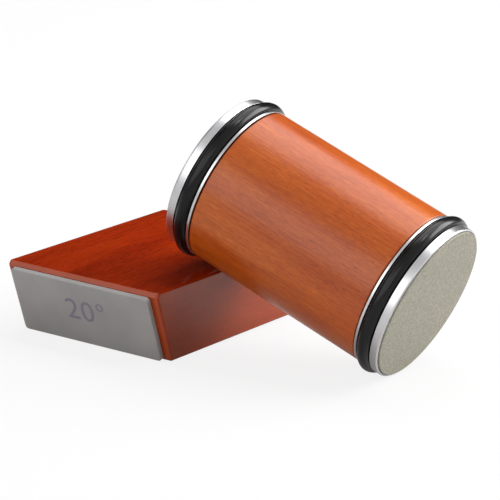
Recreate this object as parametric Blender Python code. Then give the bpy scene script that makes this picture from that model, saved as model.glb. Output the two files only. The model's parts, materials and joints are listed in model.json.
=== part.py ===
# Rolling knife sharpener: a wooden roller with a wheel and a grinding disc at each end,
# leaning against the magnetic block that holds the knife at its angle.
# Metres, +Z up. The origin is on the table, under the middle of the block's mat.
# The block's 20 degree face looks along -Y, and the roller leans on its +X top edge.

import math

import bmesh
import bpy
from mathutils import Matrix, Vector

# Clearances, mesh detail and the lean's search
SEAT_GAP = 0.0003
FIT_GAP = 0.0001
CUT_OVERRUN = 0.0010
MERGE_DISTANCE = 0.000001
RIM_SEGMENTS = 48
BEARING_SEGMENTS = 24
HALVINGS = 60
SMOOTH_ANGLE = math.radians(32.0)

# Grip
GRIP_RADIUS = 0.0300
GRIP_LENGTH = 0.0734
GRIP_EDGE_ROUND = 0.0005
GRIP_BORE_RADIUS = 0.0085

# Ball bearings, the common 8 by 22 by 7 mm size
BEARING_BORE_RADIUS = 0.0040
BEARING_OUTER_RADIUS = 0.0110
BEARING_WIDTH = 0.0070
BEARING_INSET = 0.0005
BALL_RADIUS = 0.001984
BALL_COUNT = 7
SHOULDER_HEIGHT_SHARE = 0.73
SHIELD_SEAT_DEPTH = 0.00075
SHIELD_SEAT_STEP = 0.00065
SHIELD_THICKNESS = 0.0003
CAGE_THICKNESS = 0.0012
CAGE_PRONG_LENGTH = 0.0008
CAGE_POCKET_GAP = 0.00015
RACE_ARC_STEPS = 3
POCKET_SEGMENTS = 10
POCKET_RINGS = 6

# Wheels
RUNNING_GAP = 0.0005
FLANGE_STAND_OUT = 0.0002
INNER_FLANGE_WIDTH = 0.00095
OUTER_FLANGE_WIDTH = 0.00315
FLANGE_EDGE_BREAK = 0.00025
RIM_EDGE_ROUND = 0.0006
RIM_ROUND_STEPS = 2
LIP_WIDTH = 0.0007
HUB_BOSS_RADIUS = 0.0058
HUB_WEB = 0.00135

# Tyres
TYRE_SECTION_RADIUS = 0.00265
TYRE_STAND_OUT = 0.0016
TYRE_SIDES = 10
GROOVE_ARC_STEPS = 4

# Discs
DISC_THICKNESS = 0.0020
DISC_STAND_OUT = 0.00065
DISC_EDGE_BREAK = 0.0003

# Axle, spacer tube and end screws
AXLE_END_BREAK = 0.0005
SPACER_WALL = 0.0016
SCREW_RADIUS = 0.0020
SCREW_HEAD_RADIUS = 0.0040
SCREW_HEAD_HEIGHT = 0.0020
SCREW_HOLE_DEPTH = 0.0140
SCREW_TIP_GAP = 0.0020
SCREW_SOCKET_RADIUS = 0.00144
SCREW_SOCKET_DEPTH = 0.0012
SCREW_SOCKET_SIDES = 6

# Angle block
BLOCK_WIDTH = 0.0690
BLOCK_DEPTH = 0.0960
BLOCK_HEIGHT = 0.0274
FRONT_ANGLE = math.radians(20.0)
BACK_ANGLE = math.radians(15.0)
CORNER_ROUND = 0.0014
END_EDGE_CHAMFER = 0.0014
SIDE_EDGE_ROUND = 0.0013
BOTTOM_EDGE_ROUND = 0.0006
ROUND_STEPS = 2

# Knife pads
PAD_THICKNESS = 0.0019
PAD_SIDE_MARGIN = 0.0029
PAD_TOP_MARGIN = 0.0018
PAD_BOTTOM_MARGIN = 0.0006
PAD_CORNER_RADIUS = 0.0014
PAD_CORNER_STEPS = 4
PAD_EDGE_BREAK = 0.0003

# Magnets
MAGNET_COUNT = 3
MAGNET_RADIUS = 0.0060
MAGNET_THICKNESS = 0.0050
MAGNET_SIDE_MARGIN = 0.0148
MAGNET_DEPTH = 0.0002
MAGNET_SEGMENTS = 16

# Base mat
MAT_THICKNESS = 0.0010
MAT_STAND_OUT = 0.0004
MAT_MARGIN = 0.0080
MAT_CORNER_RADIUS = 0.0040
MAT_CORNER_STEPS = 4

# How the roller leans: the turn of its axis from +X, and where the block's edge meets the grip
LEAN_HEADING = math.radians(4.7)
LEAN_FROM_GRIP_END = 0.0084
LEAN_ALONG_EDGE_SHARE = 0.492
STEEPEST_LEAN = math.radians(60.0)

# Places along the roller's axis, measured outwards from the grip's middle
GRIP_END = GRIP_LENGTH / 2
BEARING_OUTER_FACE = GRIP_END - BEARING_INSET
BEARING_MIDDLE = BEARING_OUTER_FACE - BEARING_WIDTH / 2
BEARING_INNER_FACE = BEARING_OUTER_FACE - BEARING_WIDTH
WHEEL_INNER_FACE = GRIP_END + RUNNING_GAP
GROOVE_HALF_WIDTH = TYRE_SECTION_RADIUS + SEAT_GAP
GROOVE_INNER_WALL = WHEEL_INNER_FACE + INNER_FLANGE_WIDTH
GROOVE_MIDDLE = GROOVE_INNER_WALL + GROOVE_HALF_WIDTH
GROOVE_OUTER_WALL = GROOVE_MIDDLE + GROOVE_HALF_WIDTH
WHEEL_OUTER_FACE = GROOVE_OUTER_WALL + OUTER_FLANGE_WIDTH
DISC_FACE = WHEEL_OUTER_FACE + DISC_STAND_OUT
DISC_BACK = DISC_FACE - DISC_THICKNESS
DISC_RECESS_FLOOR = DISC_BACK - SEAT_GAP
SCREW_NECK = DISC_RECESS_FLOOR - SCREW_HEAD_HEIGHT
HUB_BORE_END = SCREW_NECK - HUB_WEB
AXLE_END = HUB_BORE_END - SEAT_GAP

# Radii about the roller's axis
BALL_PITCH_RADIUS = (BEARING_BORE_RADIUS + BEARING_OUTER_RADIUS) / 2
RACE_GROOVE_RADIUS = BALL_RADIUS + FIT_GAP
SHOULDER_OFFSET = BALL_RADIUS * SHOULDER_HEIGHT_SHARE
INNER_SHOULDER_RADIUS = BALL_PITCH_RADIUS - SHOULDER_OFFSET
OUTER_SHOULDER_RADIUS = BALL_PITCH_RADIUS + SHOULDER_OFFSET
SHIELD_SEAT_RADIUS = OUTER_SHOULDER_RADIUS + SHIELD_SEAT_STEP
AXLE_RADIUS = BEARING_BORE_RADIUS - FIT_GAP
WHEEL_RADIUS = GRIP_RADIUS + FLANGE_STAND_OUT
DISC_RADIUS = WHEEL_RADIUS - LIP_WIDTH - SEAT_GAP
TYRE_MIDDLE_RADIUS = WHEEL_RADIUS + TYRE_STAND_OUT - TYRE_SECTION_RADIUS

# The block's outline, seen from +X
BLOCK_BOTTOM = MAT_STAND_OUT
BLOCK_TOP = BLOCK_BOTTOM + BLOCK_HEIGHT
FRONT_SETBACK = BLOCK_HEIGHT * math.tan(FRONT_ANGLE)
BACK_SETBACK = BLOCK_HEIGHT * math.tan(BACK_ANGLE)
BASE_DEPTH = BLOCK_DEPTH - FRONT_SETBACK - BACK_SETBACK
FRONT_BOTTOM = -BASE_DEPTH / 2
BACK_BOTTOM = BASE_DEPTH / 2
FRONT_TOP = FRONT_BOTTOM - FRONT_SETBACK
BACK_TOP = BACK_BOTTOM + BACK_SETBACK
WIDEST_EDGE = max(CORNER_ROUND, END_EDGE_CHAMFER, SIDE_EDGE_ROUND, BOTTOM_EDGE_ROUND)


def clear_scene():
    """Remove whatever the scene holds."""
    for obj in list(bpy.data.objects):
        bpy.data.objects.remove(obj, do_unlink=True)


def linear(red, green, blue):
    """Turn a colour seen on screen, 0 to 255, into the shader's linear one."""
    channels = []
    for value in (red, green, blue):
        share = value / 255
        channels.append(share / 12.92 if share <= 0.04045 else ((share + 0.055) / 1.055) ** 2.4)
    return (*channels, 1.0)


def finish_material(name, colour, roughness, metallic, coat=0.0):
    """One plain finish: colour, roughness, metal or not, and a lacquer coat."""
    material = bpy.data.materials.new(name)
    material.use_nodes = True
    shader = material.node_tree.nodes["Principled BSDF"]
    shader.inputs["Base Color"].default_value = colour
    shader.inputs["Roughness"].default_value = roughness
    shader.inputs["Metallic"].default_value = metallic
    shader.inputs["Coat Weight"].default_value = coat
    material.diffuse_color = colour
    return material


def grip_wood():
    """Light hardwood stained orange-brown, under satin lacquer."""
    return finish_material("grip_wood", linear(184, 96, 52), 0.42, 0.0, 0.35)


def block_wood():
    """The same wood stained a deeper red, under glossier lacquer."""
    return finish_material("block_wood", linear(150, 52, 26), 0.32, 0.0, 0.6)


def polished_metal():
    """Turned and polished wheel metal."""
    return finish_material("polished_metal", linear(224, 224, 226), 0.12, 1.0)


def bearing_steel():
    """Ground steel of races, balls, axle and screws."""
    return finish_material("bearing_steel", linear(196, 198, 202), 0.22, 1.0)


def shield_steel():
    """Thin pressed steel of the bearing shields."""
    return finish_material("shield_steel", linear(176, 178, 182), 0.35, 1.0)


def cage_nylon():
    """Moulded nylon of the crown cages."""
    return finish_material("cage_nylon", linear(206, 196, 172), 0.5, 0.0)


def tyre_rubber():
    """Black rubber of the tyres."""
    return finish_material("tyre_rubber", linear(34, 35, 38), 0.45, 0.0)


def diamond_grit():
    """Grey-green plated diamond grit."""
    return finish_material("diamond_grit", linear(165, 163, 148), 0.7, 0.3)


def honing_steel():
    """Finely ridged steel of the finishing disc."""
    return finish_material("honing_steel", linear(188, 190, 192), 0.3, 1.0)


def pad_silicone():
    """Smooth grey silicone of the knife pads."""
    return finish_material("pad_silicone", linear(140, 140, 138), 0.6, 0.0)


def magnet_nickel():
    """Nickel plating of the magnets."""
    return finish_material("magnet_nickel", linear(190, 188, 182), 0.2, 1.0)


def mat_rubber():
    """Dark rubber of the mat under the block."""
    return finish_material("mat_rubber", linear(44, 44, 46), 0.8, 0.0)


def frame_empty(name, parent, location=(0.0, 0.0, 0.0), turn=(0.0, 0.0, 0.0)):
    """An empty that carries the pieces of one moving group."""
    empty = bpy.data.objects.new(name, None)
    bpy.context.collection.objects.link(empty)
    empty.parent = parent
    empty.location = location
    empty.rotation_euler = turn
    return empty


def piece(name, mesh, material, parent=None, location=(0.0, 0.0, 0.0), turn=(0.0, 0.0, 0.0)):
    """One named object that shows a mesh at its place."""
    if material and not mesh.materials:
        mesh.materials.append(material)
    obj = bpy.data.objects.new(name, mesh)
    bpy.context.collection.objects.link(obj)
    obj.parent = parent
    obj.location = location
    obj.rotation_euler = turn
    return obj


def make_cutter(obj):
    """Keep a cutting shape out of the model itself."""
    obj.hide_render = True
    obj.display_type = "WIRE"
    return obj


def cut(obj, cutter):
    """Take the cutter's shape out of the object."""
    modifier = obj.modifiers.new(cutter.name, "BOOLEAN")
    modifier.operation = "DIFFERENCE"
    modifier.solver = "EXACT"
    modifier.object = cutter


def mesh_from(bm, name, smooth=True):
    """Close a bmesh into a mesh with its faces pointing outwards."""
    bmesh.ops.remove_doubles(bm, verts=bm.verts, dist=MERGE_DISTANCE)
    bmesh.ops.recalc_face_normals(bm, faces=bm.faces)
    mesh = bpy.data.meshes.new(name)
    bm.to_mesh(mesh)
    bm.free()
    if smooth:
        mesh.shade_smooth()
        mesh.set_sharp_from_angle(angle=SMOOTH_ANGLE)
    return mesh


def turned(name, outline, segments, ring):
    """Spin an outline of (radius, height) points about Z; a ring's outline closes on itself."""
    bm = bmesh.new()
    verts = [bm.verts.new((radius, 0.0, height)) for radius, height in outline]
    edges = [bm.edges.new(pair) for pair in zip(verts, verts[1:])]
    if ring:
        edges.append(bm.edges.new((verts[-1], verts[0])))
    bmesh.ops.spin(bm, geom=verts + edges, cent=(0.0, 0.0, 0.0), axis=(0.0, 0.0, 1.0),
                   dvec=(0.0, 0.0, 0.0), angle=2 * math.pi, steps=segments, use_merge=True,
                   use_normal_flip=False, use_duplicate=False)
    return mesh_from(bm, name)


def arc(middle_radius, middle_height, arc_radius, first, last, steps):
    """Points of an arc in an outline, by its angle from straight outwards."""
    points = []
    for step in range(steps + 1):
        angle = first + (last - first) * step / steps
        points.append((middle_radius + arc_radius * math.cos(angle),
                       middle_height + arc_radius * math.sin(angle)))
    return points


def mirrored(outline):
    """An outline followed by its own reflection in the grip's middle."""
    return outline + [(radius, -height) for radius, height in reversed(outline)]


def grip_mesh():
    """Barrel with a through bore, and a seat for a bearing in each end."""
    seat_radius = BEARING_OUTER_RADIUS + SEAT_GAP
    seat_floor = BEARING_INNER_FACE - SEAT_GAP
    half = [(GRIP_RADIUS, GRIP_END - GRIP_EDGE_ROUND),
            (GRIP_RADIUS - GRIP_EDGE_ROUND, GRIP_END),
            (seat_radius, GRIP_END),
            (seat_radius, seat_floor),
            (GRIP_BORE_RADIUS, seat_floor)]
    return turned("wood_grip", mirrored(half), RIM_SEGMENTS, ring=True)


def race_angle():
    """How far round the ball each race's groove reaches."""
    return math.acos(SHOULDER_OFFSET / RACE_GROOVE_RADIUS)


def outer_race_mesh():
    """Outer ring: ball groove inside, and a step for a shield at each face."""
    half_width = BEARING_WIDTH / 2
    seat_floor = half_width - SHIELD_SEAT_DEPTH
    reach = race_angle()
    groove = arc(BALL_PITCH_RADIUS, 0.0, RACE_GROOVE_RADIUS, reach, -reach, RACE_ARC_STEPS)
    outline = [(BEARING_OUTER_RADIUS, -half_width),
               (BEARING_OUTER_RADIUS, half_width),
               (SHIELD_SEAT_RADIUS, half_width),
               (SHIELD_SEAT_RADIUS, seat_floor),
               (OUTER_SHOULDER_RADIUS, seat_floor),
               *groove,
               (OUTER_SHOULDER_RADIUS, -seat_floor),
               (SHIELD_SEAT_RADIUS, -seat_floor),
               (SHIELD_SEAT_RADIUS, -half_width)]
    return turned("outer_race", outline, BEARING_SEGMENTS, ring=True)


def inner_race_mesh():
    """Inner ring: ball groove outside, plain bore inside."""
    half_width = BEARING_WIDTH / 2
    first = math.pi - race_angle()
    last = math.pi + race_angle()
    groove = arc(BALL_PITCH_RADIUS, 0.0, RACE_GROOVE_RADIUS, first, last, RACE_ARC_STEPS)
    outline = [(BEARING_BORE_RADIUS, half_width),
               (INNER_SHOULDER_RADIUS, half_width),
               *groove,
               (INNER_SHOULDER_RADIUS, -half_width),
               (BEARING_BORE_RADIUS, -half_width)]
    return turned("inner_race", outline, BEARING_SEGMENTS, ring=True)


def shield_mesh():
    """Flat ring that closes the gap between the races."""
    inner = INNER_SHOULDER_RADIUS + SEAT_GAP
    outer = SHIELD_SEAT_RADIUS - SEAT_GAP
    floor = BEARING_WIDTH / 2 - SHIELD_SEAT_DEPTH + SEAT_GAP
    top = floor + SHIELD_THICKNESS
    outline = [(inner, floor), (outer, floor), (outer, top), (inner, top)]
    return turned("bearing_shield", outline, BEARING_SEGMENTS, ring=True)


def ball_mesh():
    """One bearing ball."""
    bm = bmesh.new()
    bmesh.ops.create_icosphere(bm, subdivisions=2, radius=BALL_RADIUS)
    mesh = mesh_from(bm, "ball", smooth=False)
    mesh.shade_smooth()
    return mesh


def ball_places():
    """Middles of the balls, evenly round the pitch circle."""
    places = []
    for index in range(BALL_COUNT):
        angle = 2 * math.pi * index / BALL_COUNT
        outwards = Vector((math.cos(angle), math.sin(angle), 0.0))
        places.append(outwards * BALL_PITCH_RADIUS)
    return places


def cage_mesh():
    """Ring of a crown cage, before its ball pockets are cut."""
    inner = BALL_PITCH_RADIUS - CAGE_THICKNESS / 2
    outer = BALL_PITCH_RADIUS + CAGE_THICKNESS / 2
    back = SHIELD_SEAT_DEPTH - BEARING_WIDTH / 2
    outline = [(inner, back), (outer, back), (outer, CAGE_PRONG_LENGTH), (inner, CAGE_PRONG_LENGTH)]
    return turned("cage", outline, BEARING_SEGMENTS, ring=True)


def pocket_mesh():
    """The balls' pockets in a cage, one sphere round each ball."""
    bm = bmesh.new()
    for place in ball_places():
        bmesh.ops.create_uvsphere(bm, u_segments=POCKET_SEGMENTS, v_segments=POCKET_RINGS,
                                  radius=BALL_RADIUS + CAGE_POCKET_GAP, matrix=Matrix.Translation(place))
    return mesh_from(bm, "cage_pockets", smooth=False)


def rim_outline():
    """The outer flange's outline, from the tyre's groove to the disc's recess."""
    corner = arc(WHEEL_RADIUS - RIM_EDGE_ROUND, WHEEL_OUTER_FACE - RIM_EDGE_ROUND, RIM_EDGE_ROUND,
                 0.0, math.pi / 2, RIM_ROUND_STEPS)
    return [(WHEEL_RADIUS - FLANGE_EDGE_BREAK, GROOVE_OUTER_WALL),
            (WHEEL_RADIUS, GROOVE_OUTER_WALL + FLANGE_EDGE_BREAK),
            *corner,
            (DISC_RADIUS + SEAT_GAP, WHEEL_OUTER_FACE),
            (DISC_RADIUS + SEAT_GAP, DISC_RECESS_FLOOR)]


def wheel_mesh():
    """Wheel turned from one blank: hub boss, two flanges, tyre groove, disc recess and screw seat."""
    bore = AXLE_RADIUS + FIT_GAP
    boss_face = BEARING_OUTER_FACE + SEAT_GAP
    screw_hole = SCREW_RADIUS + SEAT_GAP
    groove = arc(TYRE_MIDDLE_RADIUS, GROOVE_MIDDLE, GROOVE_HALF_WIDTH, -math.pi / 2, -3 * math.pi / 2,
                 GROOVE_ARC_STEPS)
    outline = [(bore, boss_face),
               (HUB_BOSS_RADIUS, boss_face),
               (HUB_BOSS_RADIUS, WHEEL_INNER_FACE),
               (WHEEL_RADIUS - FLANGE_EDGE_BREAK, WHEEL_INNER_FACE),
               (WHEEL_RADIUS, WHEEL_INNER_FACE + FLANGE_EDGE_BREAK),
               (WHEEL_RADIUS, GROOVE_INNER_WALL - FLANGE_EDGE_BREAK),
               (WHEEL_RADIUS - FLANGE_EDGE_BREAK, GROOVE_INNER_WALL),
               *groove,
               *rim_outline(),
               (SCREW_HEAD_RADIUS + SEAT_GAP, DISC_RECESS_FLOOR),
               (screw_hole, SCREW_NECK),
               (screw_hole, HUB_BORE_END),
               (bore, HUB_BORE_END)]
    return turned("wheel", outline, RIM_SEGMENTS, ring=True)


def tyre_mesh():
    """Round rubber ring."""
    section = arc(TYRE_MIDDLE_RADIUS, GROOVE_MIDDLE, TYRE_SECTION_RADIUS, 0.0, 2 * math.pi, TYRE_SIDES)
    return turned("tyre", section[:-1], RIM_SEGMENTS, ring=True)


def disc_mesh(name):
    """Flat disc with broken edges."""
    outline = [(0.0, DISC_BACK),
               (DISC_RADIUS, DISC_BACK),
               (DISC_RADIUS, DISC_FACE - DISC_EDGE_BREAK),
               (DISC_RADIUS - DISC_EDGE_BREAK, DISC_FACE),
               (0.0, DISC_FACE)]
    return turned(name, outline, RIM_SEGMENTS, ring=False)


def axle_mesh():
    """Shaft with a tapped hole in each end."""
    hole_floor = AXLE_END - SCREW_HOLE_DEPTH
    hole_radius = SCREW_RADIUS + SEAT_GAP
    half = [(AXLE_RADIUS, AXLE_END - AXLE_END_BREAK),
            (AXLE_RADIUS - AXLE_END_BREAK, AXLE_END),
            (hole_radius, AXLE_END),
            (hole_radius, hole_floor),
            (0.0, hole_floor)]
    lower = [(radius, -height) for radius, height in half]
    return turned("axle", list(reversed(half)) + lower, BEARING_SEGMENTS, ring=False)


def spacer_mesh():
    """Sleeve between the inner races."""
    inner = AXLE_RADIUS + SEAT_GAP
    outer = inner + SPACER_WALL
    end = BEARING_INNER_FACE - SEAT_GAP
    outline = [(inner, -end), (outer, -end), (outer, end), (inner, end)]
    return turned("spacer_tube", outline, BEARING_SEGMENTS, ring=True)


def screw_mesh():
    """Countersunk screw, its head just under the disc."""
    tip = AXLE_END - SCREW_HOLE_DEPTH + SCREW_TIP_GAP
    outline = [(0.0, tip),
               (SCREW_RADIUS, tip),
               (SCREW_RADIUS, SCREW_NECK),
               (SCREW_HEAD_RADIUS, DISC_RECESS_FLOOR),
               (0.0, DISC_RECESS_FLOOR)]
    return turned("axle_screw", outline, BEARING_SEGMENTS, ring=False)


def socket_mesh():
    """Six-sided socket in a screw's head."""
    bm = bmesh.new()
    length = SCREW_SOCKET_DEPTH + CUT_OVERRUN
    place = Matrix.Translation((0.0, 0.0, DISC_RECESS_FLOOR + CUT_OVERRUN - length / 2))
    bmesh.ops.create_cone(bm, cap_ends=True, segments=SCREW_SOCKET_SIDES, radius1=SCREW_SOCKET_RADIUS,
                          radius2=SCREW_SOCKET_RADIUS, depth=length, matrix=place)
    return mesh_from(bm, "screw_socket", smooth=False)


def rounded_plate(bm, width, depth, thickness, corner_radius, corner_steps, place):
    """Add a plate with round corners to a bmesh: its underside on the place's XY plane."""
    made = bmesh.ops.create_cube(bm, size=1.0)["verts"]
    bmesh.ops.scale(bm, vec=(width, depth, thickness), verts=made)
    bmesh.ops.translate(bm, vec=(0.0, 0.0, thickness / 2), verts=made)
    uprights = [edge for edge in {edge for vert in made for edge in vert.link_edges}
                if abs(edge.verts[0].co.z - edge.verts[1].co.z) > thickness / 2]
    uprights.sort(key=lambda edge: (edge.verts[0].co.x, edge.verts[0].co.y))
    result = bmesh.ops.bevel(bm, geom=uprights, offset=corner_radius, offset_type="OFFSET",
                             segments=corner_steps, profile=0.5, affect="EDGES", material=-1)
    plate = {vert for vert in made if vert.is_valid}
    plate.update(vert for face in result["faces"] for vert in face.verts)
    bmesh.ops.transform(bm, matrix=place, verts=list(plate))


def face_frame(angle, front):
    """Frame at the middle of a leaning face's bottom edge: X along it, Y up its slope, Z out of it."""
    side = -1.0 if front else 1.0
    bottom = FRONT_BOTTOM if front else BACK_BOTTOM
    outwards = Vector((0.0, side * math.cos(angle), -math.sin(angle)))
    upwards = Vector((0.0, side * math.sin(angle), math.cos(angle)))
    along = upwards.cross(outwards)
    frame = Matrix((along, upwards, outwards)).transposed().to_4x4()
    frame.translation = Vector((0.0, bottom, BLOCK_BOTTOM))
    return frame


def end_faces():
    """Name, angle and frame of each leaning face."""
    return [("20", FRONT_ANGLE, face_frame(FRONT_ANGLE, front=True)),
            ("15", BACK_ANGLE, face_frame(BACK_ANGLE, front=False))]


def slope_length(angle):
    """Length of a leaning face from its bottom edge to its top one."""
    return BLOCK_HEIGHT / math.cos(angle)


def magnet_places(angle, frame):
    """Places of a face's magnets, on the face, in a row at the middle of the slope."""
    places = []
    half_row = BLOCK_WIDTH / 2 - MAGNET_SIDE_MARGIN
    for index in range(MAGNET_COUNT):
        across = half_row * (2 * index / (MAGNET_COUNT - 1) - 1)
        places.append(frame @ Matrix.Translation((across, slope_length(angle) / 2, 0.0)))
    return places


def mat_size():
    """Width and depth of the base mat."""
    return BLOCK_WIDTH - 2 * MAT_MARGIN, BASE_DEPTH - 2 * MAT_MARGIN


def block_body_mesh():
    """Solid block: its outline drawn from the side and extruded across, each edge with its own width."""
    bm = bmesh.new()
    outline = [(FRONT_BOTTOM, BLOCK_BOTTOM),
               (BACK_BOTTOM, BLOCK_BOTTOM),
               (BACK_TOP, BLOCK_TOP),
               (FRONT_TOP, BLOCK_TOP)]
    verts = [bm.verts.new((-BLOCK_WIDTH / 2, y, z)) for y, z in outline]
    side = bm.faces.new(verts)
    grown = bmesh.ops.extrude_face_region(bm, geom=[side])["geom"]
    far = [item for item in grown if isinstance(item, bmesh.types.BMVert)]
    bmesh.ops.translate(bm, vec=(BLOCK_WIDTH, 0.0, 0.0), verts=far)
    weight = bm.edges.layers.float.new("bevel_weight_edge")
    for edge in bm.edges:
        edge[weight] = edge_width(edge) / WIDEST_EDGE
    return mesh_from(bm, "wood_block", smooth=False)


def edge_width(edge):
    """Width of the round or chamfer on one edge of the block, by where the edge runs."""
    low, high = sorted(vert.co.z for vert in edge.verts)
    middle = (BLOCK_BOTTOM + BLOCK_TOP) / 2
    crosswise = abs(edge.verts[0].co.x - edge.verts[1].co.x) > BLOCK_WIDTH / 2
    if low < middle < high:
        return CORNER_ROUND
    if high < middle:
        return BOTTOM_EDGE_ROUND
    return END_EDGE_CHAMFER if crosswise else SIDE_EDGE_ROUND


def block_cutter_mesh():
    """What is bored and routed out of the block: the magnets' pockets and the mat's recess."""
    bm = bmesh.new()
    pocket_depth = MAGNET_DEPTH + MAGNET_THICKNESS + SEAT_GAP
    pocket_length = pocket_depth + CUT_OVERRUN
    for _, angle, frame in end_faces():
        for place in magnet_places(angle, frame):
            middle = place @ Matrix.Translation((0.0, 0.0, CUT_OVERRUN - pocket_length / 2))
            bmesh.ops.create_cone(bm, cap_ends=True, segments=MAGNET_SEGMENTS,
                                  radius1=MAGNET_RADIUS + SEAT_GAP, radius2=MAGNET_RADIUS + SEAT_GAP,
                                  depth=pocket_length, matrix=middle)
    width, depth = mat_size()
    recess_depth = MAT_THICKNESS - MAT_STAND_OUT + SEAT_GAP
    rounded_plate(bm, width + 2 * SEAT_GAP, depth + 2 * SEAT_GAP, recess_depth + CUT_OVERRUN,
                  MAT_CORNER_RADIUS + SEAT_GAP, MAT_CORNER_STEPS,
                  Matrix.Translation((0.0, 0.0, BLOCK_BOTTOM - CUT_OVERRUN)))
    return mesh_from(bm, "block_cutter", smooth=False)


def build_block(wood):
    """The wooden block, its edges rounded and then bored."""
    block = piece("wood_block", block_body_mesh(), wood)
    rounding = block.modifiers.new("rounding", "BEVEL")
    rounding.limit_method = "WEIGHT"
    rounding.width = WIDEST_EDGE
    rounding.segments = ROUND_STEPS
    cut(block, make_cutter(piece("block_cutter", block_cutter_mesh(), None)))


def pad_mesh(name, angle):
    """Plate with round corners and a broken front edge, drawn in its face's frame."""
    width = BLOCK_WIDTH - 2 * PAD_SIDE_MARGIN
    height = slope_length(angle) - PAD_TOP_MARGIN - PAD_BOTTOM_MARGIN
    bm = bmesh.new()
    rounded_plate(bm, width, height, PAD_THICKNESS, PAD_CORNER_RADIUS, PAD_CORNER_STEPS,
                  Matrix.Translation((0.0, PAD_BOTTOM_MARGIN + height / 2, SEAT_GAP)))
    front = [edge for edge in bm.edges if min(vert.co.z for vert in edge.verts) > PAD_THICKNESS / 2]
    bmesh.ops.bevel(bm, geom=front, offset=PAD_EDGE_BREAK, offset_type="OFFSET", segments=1,
                    profile=0.5, affect="EDGES", material=-1)
    return mesh_from(bm, name, smooth=False)


def build_end_faces(silicone, nickel):
    """The pad and the magnets of each leaning face."""
    bm = bmesh.new()
    bmesh.ops.create_cone(bm, cap_ends=True, segments=MAGNET_SEGMENTS, radius1=MAGNET_RADIUS,
                          radius2=MAGNET_RADIUS, depth=MAGNET_THICKNESS)
    magnet = mesh_from(bm, "magnet")
    for degrees, angle, frame in end_faces():
        pad = piece(f"knife_pad_{degrees}", pad_mesh(f"knife_pad_{degrees}", angle), silicone)
        pad.matrix_world = frame
        for index, place in enumerate(magnet_places(angle, frame), start=1):
            disc = piece(f"magnet_{degrees}_{index}", magnet, nickel)
            disc.matrix_world = place @ Matrix.Translation((0.0, 0.0, -MAGNET_DEPTH - MAGNET_THICKNESS / 2))


def build_mat(rubber):
    """The mat under the block, its underside on the table."""
    width, depth = mat_size()
    bm = bmesh.new()
    rounded_plate(bm, width, depth, MAT_THICKNESS, MAT_CORNER_RADIUS, MAT_CORNER_STEPS, Matrix.Identity(4))
    piece("base_mat", mesh_from(bm, "base_mat", smooth=False), rubber)


def lean_axis(lean):
    """Direction of the roller's axis, towards its lower end."""
    level = math.cos(lean)
    return Vector((level * math.cos(LEAN_HEADING), level * math.sin(LEAN_HEADING), -math.sin(lean)))


def roller_middle(lean):
    """Middle of the grip when its underside meets the round of the block's top edge at that lean."""
    axis = lean_axis(lean)
    round_middle = Vector((BLOCK_WIDTH / 2 - SIDE_EDGE_ROUND,
                           FRONT_TOP + LEAN_ALONG_EDGE_SHARE * BLOCK_DEPTH,
                           BLOCK_TOP - SIDE_EDGE_ROUND))
    away = Vector((-axis.z, 0.0, axis.x)).normalized()
    reach = SIDE_EDGE_ROUND + SEAT_GAP + GRIP_RADIUS
    return round_middle + away * reach + axis * (GRIP_END - LEAN_FROM_GRIP_END)


def rim_height(lean):
    """Height of the lower wheel's lowest point above the table at that lean."""
    reach = max(radius * math.cos(lean) + height * math.sin(lean) for radius, height in rim_outline())
    return roller_middle(lean).z - reach


def resting_lean():
    """The lean at which the lower wheel touches the table, found by halving."""
    low, high = 0.0, STEEPEST_LEAN
    for _ in range(HALVINGS):
        middle = (low + high) / 2
        if rim_height(middle) > 0.0:
            low = middle
        else:
            high = middle
    return (low + high) / 2


def roller_frame():
    """Frame of the leaning roller: Z along its axis, X on its upper side."""
    lean = resting_lean()
    axis = lean_axis(lean)
    upper = (Vector((0.0, 0.0, 1.0)) - axis * axis.z).normalized()
    frame = Matrix((upper, axis.cross(upper), axis)).transposed().to_4x4()
    frame.translation = roller_middle(lean)
    return frame


def both_ends():
    """Name, sign and turn of the roller's two ends."""
    return [("right", 1.0, (0.0, 0.0, 0.0)), ("left", -1.0, (math.pi, 0.0, 0.0))]


def build_grip(roller, wood, steel, shield_metal):
    """The barrel, with the outer races and shields that stay with it."""
    piece("wood_grip", grip_mesh(), wood, roller)
    race = outer_race_mesh()
    shield = shield_mesh()
    for end, sign, turn in both_ends():
        middle = (0.0, 0.0, sign * BEARING_MIDDLE)
        opposite = (math.pi - turn[0], 0.0, 0.0)
        piece(f"outer_race_{end}", race, steel, roller, middle, turn)
        piece(f"shield_outside_{end}", shield, shield_metal, roller, middle, turn)
        piece(f"shield_inside_{end}", shield, shield_metal, roller, middle, opposite)


def build_ball_trains(roller, steel, nylon):
    """The balls and the cage of each bearing, on an empty at the bearing's middle."""
    ball = ball_mesh()
    cage_ring = cage_mesh()
    pockets = pocket_mesh()
    for end, sign, turn in both_ends():
        train = frame_empty(f"ball_train_{end}", roller, (0.0, 0.0, sign * BEARING_MIDDLE), turn)
        for index, place in enumerate(ball_places(), start=1):
            piece(f"ball_{end}_{index}", ball, steel, train, place)
        cage = piece(f"cage_{end}", cage_ring, nylon, train)
        cut(cage, make_cutter(piece(f"cage_pockets_{end}", pockets, None, train)))


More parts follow.
